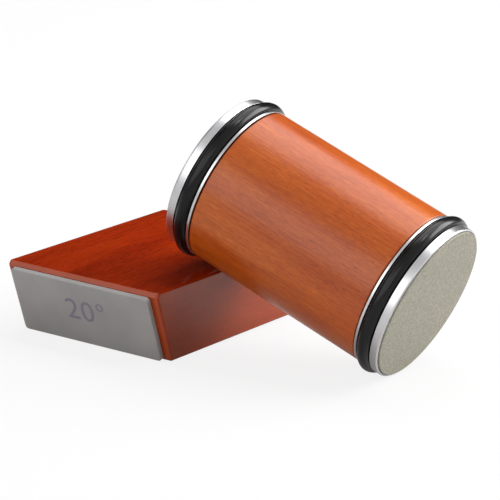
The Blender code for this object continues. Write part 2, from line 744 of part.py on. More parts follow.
def build_wheel_set(roller, metal, steel, rubber, grit, honing):
    """Everything that turns with the axle."""
    spindle = frame_empty("spindle", roller)
    piece("axle", axle_mesh(), steel, spindle)
    piece("spacer_tube", spacer_mesh(), steel, spindle)
    inner_race = inner_race_mesh()
    wheel, tyre, screw, socket = wheel_mesh(), tyre_mesh(), screw_mesh(), socket_mesh()
    for end, sign, turn in both_ends():
        piece(f"inner_race_{end}", inner_race, steel, spindle, (0.0, 0.0, sign * BEARING_MIDDLE), turn)
        piece(f"wheel_{end}", wheel, metal, spindle, turn=turn)
        piece(f"tyre_{end}", tyre, rubber, spindle, turn=turn)
        fastener = piece(f"axle_screw_{end}", screw, steel, spindle, turn=turn)
        cut(fastener, make_cutter(piece(f"screw_socket_{end}", socket, None, spindle, turn=turn)))
    piece("diamond_disc", disc_mesh("diamond_disc"), grit, spindle)
    piece("honing_disc", disc_mesh("honing_disc"), honing, spindle, turn=(math.pi, 0.0, 0.0))


def build():
    """The whole sharpener."""
    clear_scene()
    steel = bearing_steel()
    build_block(block_wood())
    build_end_faces(pad_silicone(), magnet_nickel())
    build_mat(mat_rubber())
    roller = frame_empty("roller", None)
    roller.matrix_world = roller_frame()
    build_grip(roller, grip_wood(), steel, shield_steel())
    build_ball_trains(roller, steel, cage_nylon())
    build_wheel_set(roller, polished_metal(), steel, tyre_rubber(), diamond_grit(), honing_steel())


build()
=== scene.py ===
import json
import math

import bmesh
import bpy
from mathutils import Matrix, Vector


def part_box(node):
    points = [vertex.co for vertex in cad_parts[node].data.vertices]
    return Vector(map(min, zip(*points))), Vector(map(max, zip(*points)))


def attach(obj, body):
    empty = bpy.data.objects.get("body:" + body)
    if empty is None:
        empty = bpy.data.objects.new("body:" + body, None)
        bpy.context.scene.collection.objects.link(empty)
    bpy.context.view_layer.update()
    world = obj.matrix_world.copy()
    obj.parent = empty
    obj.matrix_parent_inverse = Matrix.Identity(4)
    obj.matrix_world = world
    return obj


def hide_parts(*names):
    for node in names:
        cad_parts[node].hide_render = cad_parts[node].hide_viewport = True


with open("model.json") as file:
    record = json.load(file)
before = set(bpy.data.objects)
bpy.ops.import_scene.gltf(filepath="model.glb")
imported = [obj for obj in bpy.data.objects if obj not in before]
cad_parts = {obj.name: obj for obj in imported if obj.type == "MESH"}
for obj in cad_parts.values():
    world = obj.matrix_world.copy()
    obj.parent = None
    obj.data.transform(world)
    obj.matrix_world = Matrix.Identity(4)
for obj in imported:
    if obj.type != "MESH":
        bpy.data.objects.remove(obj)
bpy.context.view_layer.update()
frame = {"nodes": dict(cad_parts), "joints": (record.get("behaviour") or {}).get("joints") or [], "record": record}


# Wooden grip
# The barrel that the hand holds: hardwood turned on a lathe, bored through for the axle and
# seated at each end for a bearing, then stained orange-brown and sprayed with satin lacquer.
# It lies along its own axis, which every turned piece of the roller shares.
GRIP_EDGE_ROUND = 0.0005
SEAT_CLEARANCE = 0.0003
TURNED_STEPS = 192
ROUND_STEPS = 4
SHARP_ANGLE = math.radians(30)
MERGE_DISTANCE = 0.000001
FIBRE_SMOOTHER = 0.04
FIBRE_ROUGHER = 0.05

spin_joint = next(joint for joint in frame["joints"] if joint["name"] == "wheel_spin")
roller_axis = Vector(spin_joint["axis"]).normalized()
upper_side = (Vector((0, 0, 1)) - roller_axis * roller_axis.z).normalized()
roller = Matrix((upper_side, roller_axis.cross(upper_side), roller_axis)).transposed().to_4x4()
roller.translation = Vector(spin_joint["pos_m"])


def roller_places(node):
    """The corners of a CAD node, in the roller's own frame."""
    return [roller.inverted() @ vert.co for vert in frame["nodes"][node].data.vertices]


def turned_size(node):
    """Where a turned part starts and ends along the roller's axis, and its least and greatest radius."""
    places = roller_places(node)
    heights = [place.z for place in places]
    radii = [place.xy.length for place in places]
    return min(heights), max(heights), min(radii), max(radii)


def turn(outline, closed=True):
    """Turn an outline of (radius, height) points about the axis; a closed outline leaves a bore."""
    bm = bmesh.new()
    verts = [bm.verts.new((radius, 0, height)) for radius, height in outline]
    edges = [bm.edges.new(pair) for pair in zip(verts, verts[1:])]
    if closed:
        edges.append(bm.edges.new((verts[-1], verts[0])))
    bmesh.ops.spin(bm, geom=verts + edges, cent=(0, 0, 0), axis=(0, 0, 1), dvec=(0, 0, 0),
                   angle=2 * math.pi, steps=TURNED_STEPS, use_merge=True)
    bmesh.ops.remove_doubles(bm, verts=bm.verts, dist=MERGE_DISTANCE)
    bmesh.ops.recalc_face_normals(bm, faces=bm.faces)
    return bm


def bevel(bm, edges, width, segments):
    """Round some edges of a mesh."""
    bmesh.ops.bevel(bm, geom=edges, offset=width, offset_type="OFFSET", segments=segments,
                    profile=0.5, affect="EDGES", material=-1)


def round_edges(bm, width, chosen, segments=ROUND_STEPS):
    """Round off the sharp edges that the test picks."""
    sharp = [edge for edge in bm.edges if edge.calc_face_angle(0) > SHARP_ANGLE and chosen(edge)]
    bevel(bm, sharp, width, segments)


def made_mesh(bm, name):
    """Turn a bmesh into a mesh, and free the bmesh."""
    mesh = bpy.data.meshes.new(name)
    bm.to_mesh(mesh)
    bm.free()
    return mesh


def add_object(name, data):
    """Put a new object into the scene, at the origin."""
    added = bpy.data.objects.new(name, data)
    bpy.context.scene.collection.objects.link(added)
    return added


def place_piece(bm, name, place, finish, body, slot, *nodes):
    """Put a finished mesh in its place as one piece that rides on a body and stands for CAD nodes."""
    bm.transform(place)
    mesh = made_mesh(bm, name)
    mesh.shade_smooth()
    mesh.set_sharp_from_angle(angle=SHARP_ANGLE)
    mesh.materials.append(finish)
    piece = add_object(name, mesh)
    flats = piece.modifiers.new("flat_faces", "WEIGHTED_NORMAL")
    flats.mode = "FACE_AREA"
    flats.keep_sharp = True
    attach(piece, body)
    if nodes:
        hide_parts(*nodes)


def colour(red, green, blue):
    """A colour as seen on a screen, 0 to 255, turned into the shader's linear one."""
    shares = [value / 255 for value in (red, green, blue)]
    return (*(share / 12.92 if share <= 0.04045 else ((share + 0.055) / 1.055) ** 2.4
              for share in shares), 1)


def add_node(tree, kind, inputs=None, **settings):
    """Add a node with its settings; each input is another node's output or a plain value."""
    node = tree.nodes.new(kind)
    for name, value in settings.items():
        setattr(node, name, value)
    for socket, value in (inputs or {}).items():
        if isinstance(value, bpy.types.NodeSocket):
            tree.links.new(value, node.inputs[socket])
        else:
            node.inputs[socket].default_value = value
    return node


def start_finish(name, own_frame, constants):
    """A new material: its node tree, its shader with the constants set, and places in the own frame."""
    material = bpy.data.materials.new(name)
    material.use_nodes = True
    tree = material.node_tree
    shader = tree.nodes["Principled BSDF"]
    for socket, value in constants.items():
        shader.inputs[socket].default_value = value
    inward = own_frame.inverted()
    source = add_node(tree, "ShaderNodeTexCoord")
    place = add_node(tree, "ShaderNodeMapping", {"Vector": source.outputs["Object"],
                                                 "Rotation": inward.to_euler(),
                                                 "Location": inward.translation})
    return material, tree, shader, place.outputs["Vector"]


def grain(tree, place, scale, along=1, detail=2.0, distortion=0.0):
    """Noise in a piece's own frame, drawn out along its Z by a value below 1."""
    stretched = add_node(tree, "ShaderNodeMapping", {"Vector": place, "Scale": (1, 1, along)})
    noise = add_node(tree, "ShaderNodeTexNoise", {"Vector": stretched.outputs["Vector"], "Scale": scale,
                                                  "Detail": detail, "Distortion": distortion})
    return noise.outputs["Fac"]


def ramp(tree, amount, *stops):
    """Colours or greys along an amount, each stop with its place."""
    node = add_node(tree, "ShaderNodeValToRGB", {"Fac": amount})
    band = node.color_ramp
    while len(band.elements) < len(stops):
        band.elements.new(0.5)
    for element, (place, shade) in zip(band.elements, stops):
        element.position = place
        element.color = shade if isinstance(shade, tuple) else (shade, shade, shade, 1)
    return node.outputs["Color"]


def drive(tree, shader, socket, amount, *stops):
    """Let a ramp along an amount set one of the shader's inputs."""
    tree.links.new(ramp(tree, amount, *stops), shader.inputs[socket])


MIX_FACTOR, MIX_FIRST, MIX_SECOND = (0, 6, 7)
MIX_RESULT = 2


def blend(tree, amount, first, second, how="MIX"):
    """Mix two colours, by a number or by another node's output."""
    node = add_node(tree, "ShaderNodeMix", data_type="RGBA", blend_type=how)
    for socket, value in ((MIX_FACTOR, amount), (MIX_FIRST, first), (MIX_SECOND, second)):
        if isinstance(value, bpy.types.NodeSocket):
            tree.links.new(value, node.inputs[socket])
        else:
            node.inputs[socket].default_value = value
    return node.outputs[MIX_RESULT]


def bump(tree, shader, height, depth, strength, under=None):
    """Raise the surface by a height map; a depth is in metres."""
    node = add_node(tree, "ShaderNodeBump", {"Height": height, "Distance": depth, "Strength": strength})
    if under:
        tree.links.new(under, node.inputs["Normal"])
    tree.links.new(node.outputs["Normal"], shader.inputs["Normal"])
    return node.outputs["Normal"]


def wood_finish(name, own_frame, tones, fleck, fleck_share, roughness, constants):
    """Stained hardwood, its fibre along the frame's Z: faint figure, fine fibre, short dark flecks."""
    material, tree, shader, place = start_finish(name, own_frame, constants)
    figure = grain(tree, place, scale=70, along=0.16, detail=3, distortion=0.4)
    fibre = grain(tree, place, scale=1300, along=0.06, detail=3)
    strands = grain(tree, place, scale=2600, along=0.12, detail=2)
    tone = blend(tree, 0.4, figure, fibre)
    tone = blend(tree, 0.3, tone, strands)
    stain = ramp(tree, tone, (0.36, tones[0]), (0.5, tones[1]), (0.64, tones[2]))
    dashes = grain(tree, place, scale=2100, along=0.2, detail=1)
    patches = grain(tree, place, scale=150, along=0.3, detail=2)
    flecks = blend(tree, 1.0, ramp(tree, dashes, (0.6, 0.0), (0.72, 1.0)),
                   ramp(tree, patches, (0.35, 0.4), (0.65, 1.0)), "MULTIPLY")
    flecks = blend(tree, 1.0, flecks, (fleck_share, fleck_share, fleck_share, 1), "MULTIPLY")
    tree.links.new(blend(tree, flecks, stain, fleck), shader.inputs["Base Color"])
    drive(tree, shader, "Roughness", fibre,
          (0.3, roughness - FIBRE_SMOOTHER), (0.7, roughness + FIBRE_ROUGHER))
    pores = bump(tree, shader, dashes, depth=0.00003, strength=0.2)
    bump(tree, shader, strands, depth=0.00002, strength=0.2, under=pores)
    return material


grip_wood = wood_finish(
    "grip_wood", roller,
    tones=(colour(161, 62, 10), colour(185, 84, 18), colour(206, 107, 32)),
    fleck=colour(96, 26, 8), fleck_share=0.5, roughness=0.5,
    constants={"Coat Weight": 1.0, "Coat Roughness": 0.3, "Coat IOR": 1.5, "Specular IOR Level": 0.0})

_, grip_high, bore_radius, grip_radius = turned_size("wood_grip")
race_low, _, _, race_radius = turned_size("outer_race_right")
seat_radius = race_radius + SEAT_CLEARANCE
seat_floor = race_low - SEAT_CLEARANCE
half = [(grip_radius, grip_high),
        (seat_radius, grip_high),
        (seat_radius, seat_floor),
        (bore_radius, seat_floor)]
bm = turn(half + [(radius, -height) for radius, height in reversed(half)])
round_edges(bm, GRIP_EDGE_ROUND, lambda edge: edge.verts[0].co.xy.length > grip_radius - GRIP_EDGE_ROUND)
place_piece(bm, "turned_grip", roller, grip_wood, "grip", "grip_wood", "wood_grip")


# Ball bearings
# Two standard ball bearings, bought in and hidden in the closed roller: ground steel races pressed
# into place, balls that run in their grooves with a fine gap, a crown cage moulded in nylon that
# spaces the balls, and pressed steel shields snapped into the outer race.
RACE_CLEARANCE = 0.0001
RACE_STEPS = 16
BALL_FINENESS = 4
BALL_COUNT = 7
NEAR = 0.0001
STEEL_SHADE_SPREAD = 9
STEEL_SMOOTHEST = 0.9
STEEL_ROUGHEST = 1.12


def steel_finish(name, own_frame, shade, roughness, marks):
    """Ground or turned steel with fine marks that run round the frame's Z axis."""
    material, tree, shader, place = start_finish(name, own_frame, {"Metallic": 1.0})
    parts = add_node(tree, "ShaderNodeSeparateXYZ", {"Vector": place})
    flat = add_node(tree, "ShaderNodeCombineXYZ", {"X": parts.outputs["X"], "Y": parts.outputs["Y"]})
    radius = add_node(tree, "ShaderNodeVectorMath", {0: flat.outputs["Vector"]}, operation="LENGTH")
    profile = add_node(tree, "ShaderNodeCombineXYZ", {"X": radius.outputs["Value"],
                                                      "Y": parts.outputs["Z"]})
    rings = grain(tree, profile.outputs["Vector"], marks, detail=3)
    cloud = grain(tree, place, scale=140, detail=3)
    darker = [value - STEEL_SHADE_SPREAD for value in shade]
    drive(tree, shader, "Base Color", cloud, (0.3, colour(*darker)), (0.7, colour(*shade)))
    drive(tree, shader, "Roughness", blend(tree, 0.5, rings, cloud),
          (0.3, roughness * STEEL_SMOOTHEST), (0.7, roughness * STEEL_ROUGHEST))
    bump(tree, shader, rings, depth=0.00001, strength=0.06)
    return material


def give_finish(finish, *starts):
    """Give a finish to every CAD node whose name starts so."""
    for name, node in frame["nodes"].items():
        if name.startswith(starts):
            if not node.data.materials:
                node.data.materials.append(finish)
            for held in node.material_slots:
                held.material = finish


def arc(middle_radius, middle_height, arc_radius, first, last, steps):
    """Points of an arc in an outline, by its angle from straight outwards."""
    points = []
    for step in range(steps + 1):
        angle = first + (last - first) * step / steps
        points.append((middle_radius + arc_radius * math.cos(angle),
                       middle_height + arc_radius * math.sin(angle)))
    return points


bearing_steel = steel_finish("bearing_steel", roller, (198, 200, 204), roughness=0.2, marks=5200)
shield_steel = steel_finish("shield_steel", roller, (180, 182, 186), roughness=0.34, marks=2400)

cage_nylon, tree, shader, place = start_finish("cage_nylon", roller, {"Subsurface Weight": 0.08, "IOR": 1.53})
speckle = grain(tree, place, scale=1800, detail=4)
drive(tree, shader, "Base Color", speckle, (0.3, colour(194, 184, 160)), (0.7, colour(214, 205, 182)))
drive(tree, shader, "Roughness", speckle, (0.3, 0.42), (0.7, 0.58))
bump(tree, shader, speckle, depth=0.00002, strength=0.3)

give_finish(shield_steel, "shield_")
give_finish(cage_nylon, "cage_")

for end in ("left", "right"):
    for number in range(1, BALL_COUNT + 1):
        node = f"ball_{end}_{number}"
        places = roller_places(node)
        ball_middle = sum(places, Vector()) / len(places)
        ball_radius = max((place - ball_middle).length for place in places)
        bm = bmesh.new()
        bmesh.ops.create_icosphere(bm, subdivisions=BALL_FINENESS, radius=ball_radius,
                                   matrix=Matrix.Translation(ball_middle))
        place_piece(bm, f"steel_{node}", roller, bearing_steel, f"ball_train_{end}", "bearing_steel", node)
    pitch_radius = ball_middle.xy.length
    low, high, shoulder, ring_radius = turned_size(f"outer_race_{end}")
    middle = (low + high) / 2
    places = roller_places(f"outer_race_{end}")
    shield_seat = min(place.xy.length for place in places if place.z > high - NEAR)
    shield_floor = max(place.z for place in places if place.xy.length < shield_seat - NEAR) - middle
    race_groove = ball_radius + RACE_CLEARANCE
    reach = math.acos((shoulder - pitch_radius) / race_groove)
    outline = [(ring_radius, low),
               (ring_radius, high),
               (shield_seat, high),
               (shield_seat, middle + shield_floor),
               (shoulder, middle + shield_floor),
               *arc(pitch_radius, middle, race_groove, reach, -reach, RACE_STEPS),
               (shoulder, middle - shield_floor),
               (shield_seat, middle - shield_floor),
               (shield_seat, low)]
    place_piece(turn(outline), f"outer_ring_{end}", roller, bearing_steel, "grip", "bearing_steel",
                f"outer_race_{end}")
    low, high, bore, shoulder = turned_size(f"inner_race_{end}")
    reach = math.acos((pitch_radius - shoulder) / race_groove)
    outline = [(bore, high),
               (shoulder, high),
               *arc(pitch_radius, middle, race_groove, math.pi - reach, math.pi + reach, RACE_STEPS),
               (shoulder, low),
               (bore, low)]
    place_piece(turn(outline), f"inner_ring_{end}", roller, bearing_steel, "wheel_set", "bearing_steel",
                f"inner_race_{end}")


# Axle, spacer tube and end screws
# A ground steel shaft runs through both inner races, a sleeve keeps the races apart, and a
# countersunk screw at each end clamps the wheel on. All of it is hidden in the closed roller.
axle_steel = steel_finish("axle_steel", roller, (190, 192, 196), roughness=0.26, marks=3600)
give_finish(axle_steel, "axle", "spacer_tube")


# Wheels
# One at each end, turned from a single blank of light metal and polished: a thin inner flange, a
# round groove for the tyre, a wider outer flange with a rounded corner, and a narrow lip that
# stands round the disc. Each is clamped against its bearing's inner race.
FLANGE_EDGE_BREAK = 0.00012
RIM_EDGE_ROUND = 0.0006
LIP_EDGE_BREAK = 0.0001
BREAK_STEPS = 2
RIM_BAND = 0.0010
GROOVE_STEPS = 14
WHEEL_CLEARANCE = 0.0003

wheel_metal = steel_finish("wheel_metal", roller, (218, 217, 219), roughness=0.3, marks=3000)

_, _, screw_tip_radius, screw_radius = turned_size("axle_screw_right")
_, axle_end, _, axle_radius = turned_size("axle")
disc_back, disc_face, _, disc_radius = turned_size("diamond_disc")
tyre_low, tyre_high, tyre_inner, tyre_outer = turned_size("tyre_right")
tyre_section = (tyre_outer - tyre_inner) / 2
tyre_middle = (tyre_outer + tyre_inner) / 2
wheel_places = roller_places("wheel_right")
wheel_radius = max(place.xy.length for place in wheel_places)
wheel_bore = min(place.xy.length for place in wheel_places if place.z < axle_end)
hub_face = min(place.z for place in wheel_places)
wheel_inner = min(place.z for place in wheel_places if place.xy.length > grip_radius - RIM_BAND)
wheel_outer = max(place.z for place in wheel_places)
boss_radius = max(place.xy.length for place in wheel_places if place.z < wheel_inner - WHEEL_CLEARANCE / 2)
screw_seat = max(place.z for place in wheel_places if place.xy.length < axle_radius)
recess_floor = disc_back - WHEEL_CLEARANCE
recess_radius = disc_radius + WHEEL_CLEARANCE
groove_middle = (tyre_low + tyre_high) / 2
groove_radius = tyre_section + WHEEL_CLEARANCE
groove = arc(tyre_middle, groove_middle, groove_radius, -math.pi / 2, -3 * math.pi / 2, GROOVE_STEPS)
wheel_outline = [(wheel_bore, hub_face),
                 (boss_radius, hub_face),
                 (boss_radius, wheel_inner),
                 (wheel_radius, wheel_inner),
                 (wheel_radius, groove[0][1]),
                 *groove,
                 (wheel_radius, groove[-1][1]),
                 (wheel_radius, wheel_outer),
                 (recess_radius, wheel_outer),
                 (recess_radius, recess_floor),
                 (screw_radius + WHEEL_CLEARANCE, recess_floor),
                 (screw_tip_radius + wheel_bore / 2, screw_seat),
                 (wheel_bore, axle_end)]


def on_rim(edge):
    """Whether an edge of a wheel runs round at its full radius."""
    return edge.verts[0].co.xy.length > wheel_radius - NEAR


def on_outer_face(edge):
    """Whether an edge of a wheel lies in its outer face."""
    return abs(edge.verts[0].co.z) > wheel_outer - NEAR


for end, side in (("right", 1), ("left", -1)):
    bm = turn([(radius, side * height) for radius, height in wheel_outline])
    round_edges(bm, RIM_EDGE_ROUND, lambda edge: on_rim(edge) and on_outer_face(edge))
    round_edges(bm, FLANGE_EDGE_BREAK, lambda edge: on_rim(edge)
                and abs(edge.verts[0].co.z) < wheel_outer - RIM_EDGE_ROUND * 2)
    round_edges(bm, LIP_EDGE_BREAK, lambda edge: on_outer_face(edge)
                and edge.verts[0].co.xy.length < recess_radius + NEAR, BREAK_STEPS)
    place_piece(bm, f"polished_wheel_{end}", roller, wheel_metal, "wheel_set", "polished_metal",
                f"wheel_{end}")


# Tyres
# A black rubber ring in each wheel's groove, moulded round in section and smooth all over.
# It grips the table and stops the metal from marking it.
TYRE_STEPS = 36

tyre_rubber, tree, shader, place = start_finish("tyre_rubber", roller,
                                                {"IOR": 1.5, "Specular IOR Level": 0.25})
skin = grain(tree, place, scale=900, detail=4)
bloom = grain(tree, place, scale=70, detail=3)
drive(tree, shader, "Base Color", bloom, (0.3, colour(13, 13, 14)), (0.7, colour(22, 22, 24)))
drive(tree, shader, "Roughness", blend(tree, 0.5, skin, bloom), (0.3, 0.19), (0.7, 0.24))
bump(tree, shader, skin, depth=0.00001, strength=0.05)

section = arc(tyre_middle, groove_middle, tyre_section, 0, 2 * math.pi, TYRE_STEPS)[:-1]
for end, side in (("right", 1), ("left", -1)):
    bm = turn([(radius, side * height) for radius, height in section])
    place_piece(bm, f"rubber_tyre_{end}", roller, tyre_rubber, "wheel_set", "tyre_rubber", f"tyre_{end}")


# Diamond disc
# The sharpening disc on the right-hand wheel: a steel plate, plated with fine grey-green diamond
# grit all over its flat face, and fixed in the wheel's recess.
DISC_EDGE_BREAK = 0.0003

diamond_grit, tree, shader, place = start_finish("diamond_grit", roller,
                                                 {"Metallic": 0.1, "Specular IOR Level": 0.4})
grit = grain(tree, place, scale=4200, detail=2)
clumps = grain(tree, place, scale=1700, detail=3)
drift = blend(tree, 0.6, grain(tree, place, scale=60, detail=2), grain(tree, place, scale=800, detail=2))
speckled = blend(tree, 0.5, grit, clumps)
plain = ramp(tree, speckled, (0.36, colour(118, 112, 100)), (0.5, colour(155, 149, 136)),
             (0.64, colour(190, 184, 170)))
tinted = blend(tree, ramp(tree, drift, (0.4, 0.0), (0.6, 0.35)), plain, colour(148, 153, 129))
tree.links.new(tinted, shader.inputs["Base Color"])
drive(tree, shader, "Roughness", grit, (0.3, 0.5), (0.7, 0.75))
bump(tree, shader, speckled, depth=0.00006, strength=0.5)

bm = turn([(0, disc_back), (disc_radius, disc_back), (disc_radius, disc_face), (0, disc_face)], closed=False)
round_edges(bm, DISC_EDGE_BREAK, lambda edge: edge.verts[0].co.z > disc_face - NEAR, BREAK_STEPS)
place_piece(bm, "gritted_disc", roller, diamond_grit, "wheel_set", "diamond_grit", "diamond_disc")


# Honing disc
# The finishing disc on the left-hand wheel: hardened steel, its face turned into fine ridges
# that run round it, with a plain edge and a small plain middle.
RIDGE_PITCH = 0.0006
RIDGE_DEPTH = 0.00006
PLAIN_EDGE = 0.0012
PLAIN_MIDDLE = 0.0020

honing_steel = steel_finish("honing_steel", roller, (196, 198, 200), roughness=0.42, marks=4800)
ridge_count = int((disc_radius - PLAIN_EDGE - PLAIN_MIDDLE) / RIDGE_PITCH)
ridges = []
for ridge in range(ridge_count):
    outer = disc_radius - PLAIN_EDGE - ridge * RIDGE_PITCH
    ridges += [(outer, disc_face), (outer - RIDGE_PITCH / 2, disc_face - RIDGE_DEPTH)]
ridges.append((disc_radius - PLAIN_EDGE - ridge_count * RIDGE_PITCH, disc_face))
ridged = [(0, disc_back), (disc_radius, disc_back), (disc_radius, disc_face), *ridges, (0, disc_face)]
bm = turn([(radius, -height) for radius, height in ridged], closed=False)
round_edges(bm, DISC_EDGE_BREAK, lambda edge: edge.verts[0].co.xy.length > disc_radius - NEAR
            and edge.verts[0].co.z < NEAR - disc_face, BREAK_STEPS)
place_piece(bm, "ridged_disc", roller, honing_steel, "wheel_set", "honing_steel", "honing_disc")


# Wooden block
# The wedge-ended block that sets the knife's angle: sawn hardwood with its ends leaning at 20 and
# 15 degrees, bored behind each pad for the magnets and routed underneath for the mat, then stained
# red and lacquered. Its colour is painted browner and paler on its sides and ends than on top, by the way
# each face points: a painted sheen on the sides, and painted light on the ends and their chamfers.
CORNER_ROUND = 0.0014
END_CHAMFER = 0.0017
SIDE_ROUND = 0.0007
BOTTOM_ROUND = 0.0006
BLOCK_ROUND_STEPS = 5
EASED_EDGE = 0.0002
POCKET_STEPS = 32
POCKET_CLEARANCE = 0.0003
CUT_OVERRUN = 0.0010
MAGNET_NUMBERS = (1, 2, 3)
SIDE_PAINTED_SHEEN_SHARE = 0.5
END_PAINTED_LIGHT_SHARE = 0.5

along_y = Matrix(((1, 0, 0), (0, 0, 1), (0, -1, 0))).to_4x4()
block_wood = wood_finish(
    "block_wood", along_y,
    tones=(colour(132, 29, 2), colour(154, 41, 4), colour(176, 53, 8)),
    fleck=colour(86, 16, 2), fleck_share=0.4, roughness=0.5,
    constants={"Coat Weight": 1.0, "Coat Roughness": 0.12, "Coat IOR": 1.5, "Specular IOR Level": 0.0})
tree = block_wood.node_tree
shader = tree.nodes["Principled BSDF"]
deep_stain = shader.inputs["Base Color"].links[0].from_socket
# Painted light by face direction: faces that point sideways get a browner, paler tone as a painted sheen, and
# faces that point endways, chamfers included, a paler orange as painted light.
surface = add_node(tree, "ShaderNodeNewGeometry")
facing = add_node(tree, "ShaderNodeSeparateXYZ", {"Vector": surface.outputs["Normal"]})
sideways = add_node(tree, "ShaderNodeMath", {0: facing.outputs["X"]}, operation="ABSOLUTE")
endways = add_node(tree, "ShaderNodeMath", {0: facing.outputs["Y"]}, operation="ABSOLUTE")
painted_side_sheen = ramp(tree, sideways.outputs[0], (0.94, 0.0), (0.99, SIDE_PAINTED_SHEEN_SHARE))
painted_end_light = ramp(tree, endways.outputs[0], (0.3, 0.0), (0.6, END_PAINTED_LIGHT_SHARE))
stain = blend(tree, painted_side_sheen, deep_stain, colour(140, 70, 26))
tree.links.new(blend(tree, painted_end_light, stain, colour(176, 76, 22)), shader.inputs["Base Color"])

mounts = {mount["name"]: mount for mount in frame["record"]["mounts"]}
block_low, block_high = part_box("wood_block")


def end_outline(name):
    """A leaning end as (y, z) points from its foot up, with the flat chamfer at its top."""
    out = Vector(mounts[name]["axis"])
    reach = max(vert.co.dot(out) for vert in frame["nodes"]["wood_block"].data.vertices)
    foot, top = (Vector(((reach - out.z * height) / out.y, height))
                 for height in (block_low.z, block_high.z))
    inwards = Vector((-math.copysign(1, top.x), 0))
    return [foot, top + (foot - top).normalized() * END_CHAMFER, top + inwards * END_CHAMFER]


def cut_out(bm, cutter):
    """Take a cutter's shape out of a mesh, and give back the result."""
    made = [add_object("cutting", made_mesh(shape, "cutting")) for shape in (bm, cutter)]
    modifier = made[0].modifiers.new("cut", "BOOLEAN")
    modifier.operation = "DIFFERENCE"
    modifier.solver = "EXACT"
    modifier.object = made[1]
    result = bmesh.new()
    result.from_object(made[0], bpy.context.evaluated_depsgraph_get())
    for item in made:
        bpy.data.objects.remove(item)
    return result


bm = bmesh.new()
outline = end_outline("knife_face_20") + end_outline("knife_face_15")[::-1]
side = bm.faces.new([bm.verts.new((block_low.x, *point)) for point in outline])
grown = bmesh.ops.extrude_face_region(bm, geom=[side])["geom"]
bmesh.ops.translate(bm, vec=(block_high.x - block_low.x, 0, 0),
                    verts=[item for item in grown if isinstance(item, bmesh.types.BMVert)])
bmesh.ops.recalc_face_normals(bm, faces=bm.faces)
block_middle = (block_low.z + block_high.z) / 2
weights = bm.edges.layers.float.new("bevel_weight_edge")
for edge in bm.edges:
    low, high = sorted(vert.co.z for vert in edge.verts)
    crosswise = abs(edge.verts[0].co.x - edge.verts[1].co.x) > block_high.x
    if high < block_middle:
        edge[weights] = BOTTOM_ROUND / CORNER_ROUND
    elif not crosswise:
        edge[weights] = 1.0 if low < high else SIDE_ROUND / CORNER_ROUND
blank = add_object("block_blank", made_mesh(bm, "block_blank"))
rounds = blank.modifiers.new("rounds", "BEVEL")
rounds.limit_method = "WEIGHT"
rounds.width = CORNER_ROUND
rounds.segments = BLOCK_ROUND_STEPS
eased = blank.modifiers.new("eased", "BEVEL")
eased.limit_method = "ANGLE"
eased.angle_limit = SHARP_ANGLE
eased.width = EASED_EDGE
eased.segments = ROUND_STEPS
bm = bmesh.new()
bm.from_object(blank, bpy.context.evaluated_depsgraph_get())
bpy.data.objects.remove(blank)

cutter = bmesh.new()
for degrees in ("20", "15"):
    out = Vector(mounts[f"knife_face_{degrees}"]["axis"])
    for number in MAGNET_NUMBERS:
        corners = [vert.co for vert in frame["nodes"][f"magnet_{degrees}_{number}"].data.vertices]
        middle = sum(corners, Vector()) / len(corners)
        depths = [corner.dot(out) for corner in corners]
        spread = max((corner - middle - out * (corner - middle).dot(out)).length for corner in corners)
        thickness = max(depths) - min(depths)
        length = thickness + 2 * CUT_OVERRUN + POCKET_CLEARANCE
        turned = out.to_track_quat("Z", "Y").to_matrix().to_4x4()
        turned.translation = middle + out * ((2 * CUT_OVERRUN - POCKET_CLEARANCE) / 2)
        bmesh.ops.create_cone(cutter, cap_ends=True, segments=POCKET_STEPS,
                              radius1=spread + POCKET_CLEARANCE, radius2=spread + POCKET_CLEARANCE,
                              depth=length, matrix=turned)
mat_low, mat_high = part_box("base_mat")
recess = bmesh.ops.create_cube(cutter, size=1)["verts"]
recess_size = (mat_high.x - mat_low.x + 2 * POCKET_CLEARANCE,
               mat_high.y - mat_low.y + 2 * POCKET_CLEARANCE,
               mat_high.z - block_low.z + POCKET_CLEARANCE + CUT_OVERRUN)
bmesh.ops.scale(cutter, vec=recess_size, verts=recess)
bmesh.ops.translate(cutter, vec=(0, 0, mat_high.z + POCKET_CLEARANCE - recess_size[2] / 2), verts=recess)
bm = cut_out(bm, cutter)
place_piece(bm, "stained_block", Matrix(), block_wood, "block", "block_wood", "wood_block")


# Magnets
# Three nickel-plated discs behind each pad, glued into their pockets. They hold the blade against
# the pad, and the pads hide them.
magnet_nickel = steel_finish("magnet_nickel", Matrix(), (196, 192, 184), roughness=0.18, marks=1500)
give_finish(magnet_nickel, "magnet_")


# Knife pads
# A smooth grey silicone plate glued to each leaning end, against which the blade lies without
# scratches: round corners, an edge softened in the mould, and a matt skin.
PAD_CORNER_RADIUS = 0.0014
PAD_EDGE_ROUND = 0.0005
PAD_CORNER_STEPS = 8


def face_frame(name):
    """The frame of a knife face: Z out of it, Y up its slope, X along it, at the pad's middle."""
    out = Vector(mounts[name]["axis"]).normalized()
    along = Vector((0, 0, 1)).cross(out).normalized()
    place = Matrix((along, out.cross(along), out)).transposed().to_4x4()
    place.translation = Vector(mounts[name]["pos_m"])
    return place


pad_silicone, tree, shader, place = start_finish("pad_silicone", face_frame("knife_face_20"),
                                                 {"IOR": 1.45, "Specular IOR Level": 0.45})
skin = grain(tree, place, scale=2600, detail=3)
bloom = grain(tree, place, scale=55, detail=3)
drive(tree, shader, "Base Color", blend(tree, 0.35, bloom, skin),
      (0.35, colour(152, 149, 147)), (0.65, colour(165, 162, 160)))
drive(tree, shader, "Roughness", skin, (0.3, 0.5), (0.7, 0.62))
bump(tree, shader, skin, depth=0.00002, strength=0.25)

